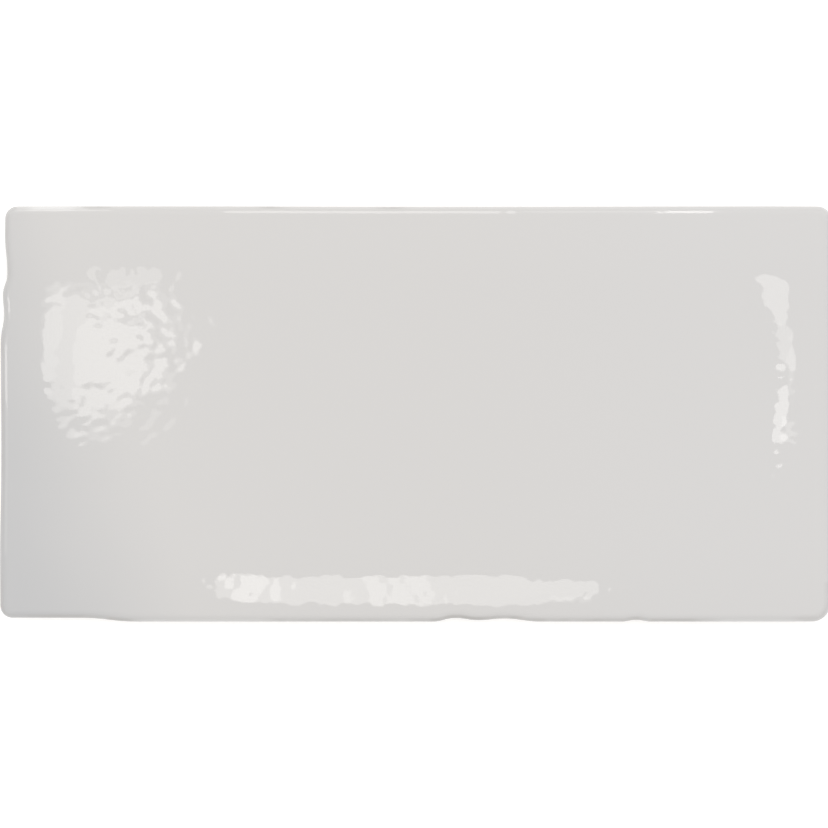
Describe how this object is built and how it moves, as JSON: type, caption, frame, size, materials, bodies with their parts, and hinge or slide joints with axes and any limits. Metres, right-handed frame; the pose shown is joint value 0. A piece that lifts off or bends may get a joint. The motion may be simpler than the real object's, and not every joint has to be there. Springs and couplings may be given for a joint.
{
  "type": "wall tile",
  "caption": "Rectangular glazed ceramic wall tile with a softly pillowed face, wavy handmade-look edges and a keyed back that is bedded in adhesive.",
  "frame": {"origin": "centre of the back, on the plane of its ribs", "axes": "+X along the tile's length, +Y across its width, +Z out of the glazed face"},
  "size_m": [0.15, 0.075, 0.008],
  "materials": {
    "glazed_ceramic": "gloss"
  },
  "bodies": {
    "root": {"wall_tile": "glazed_ceramic"}
  },
  "joints": []
}
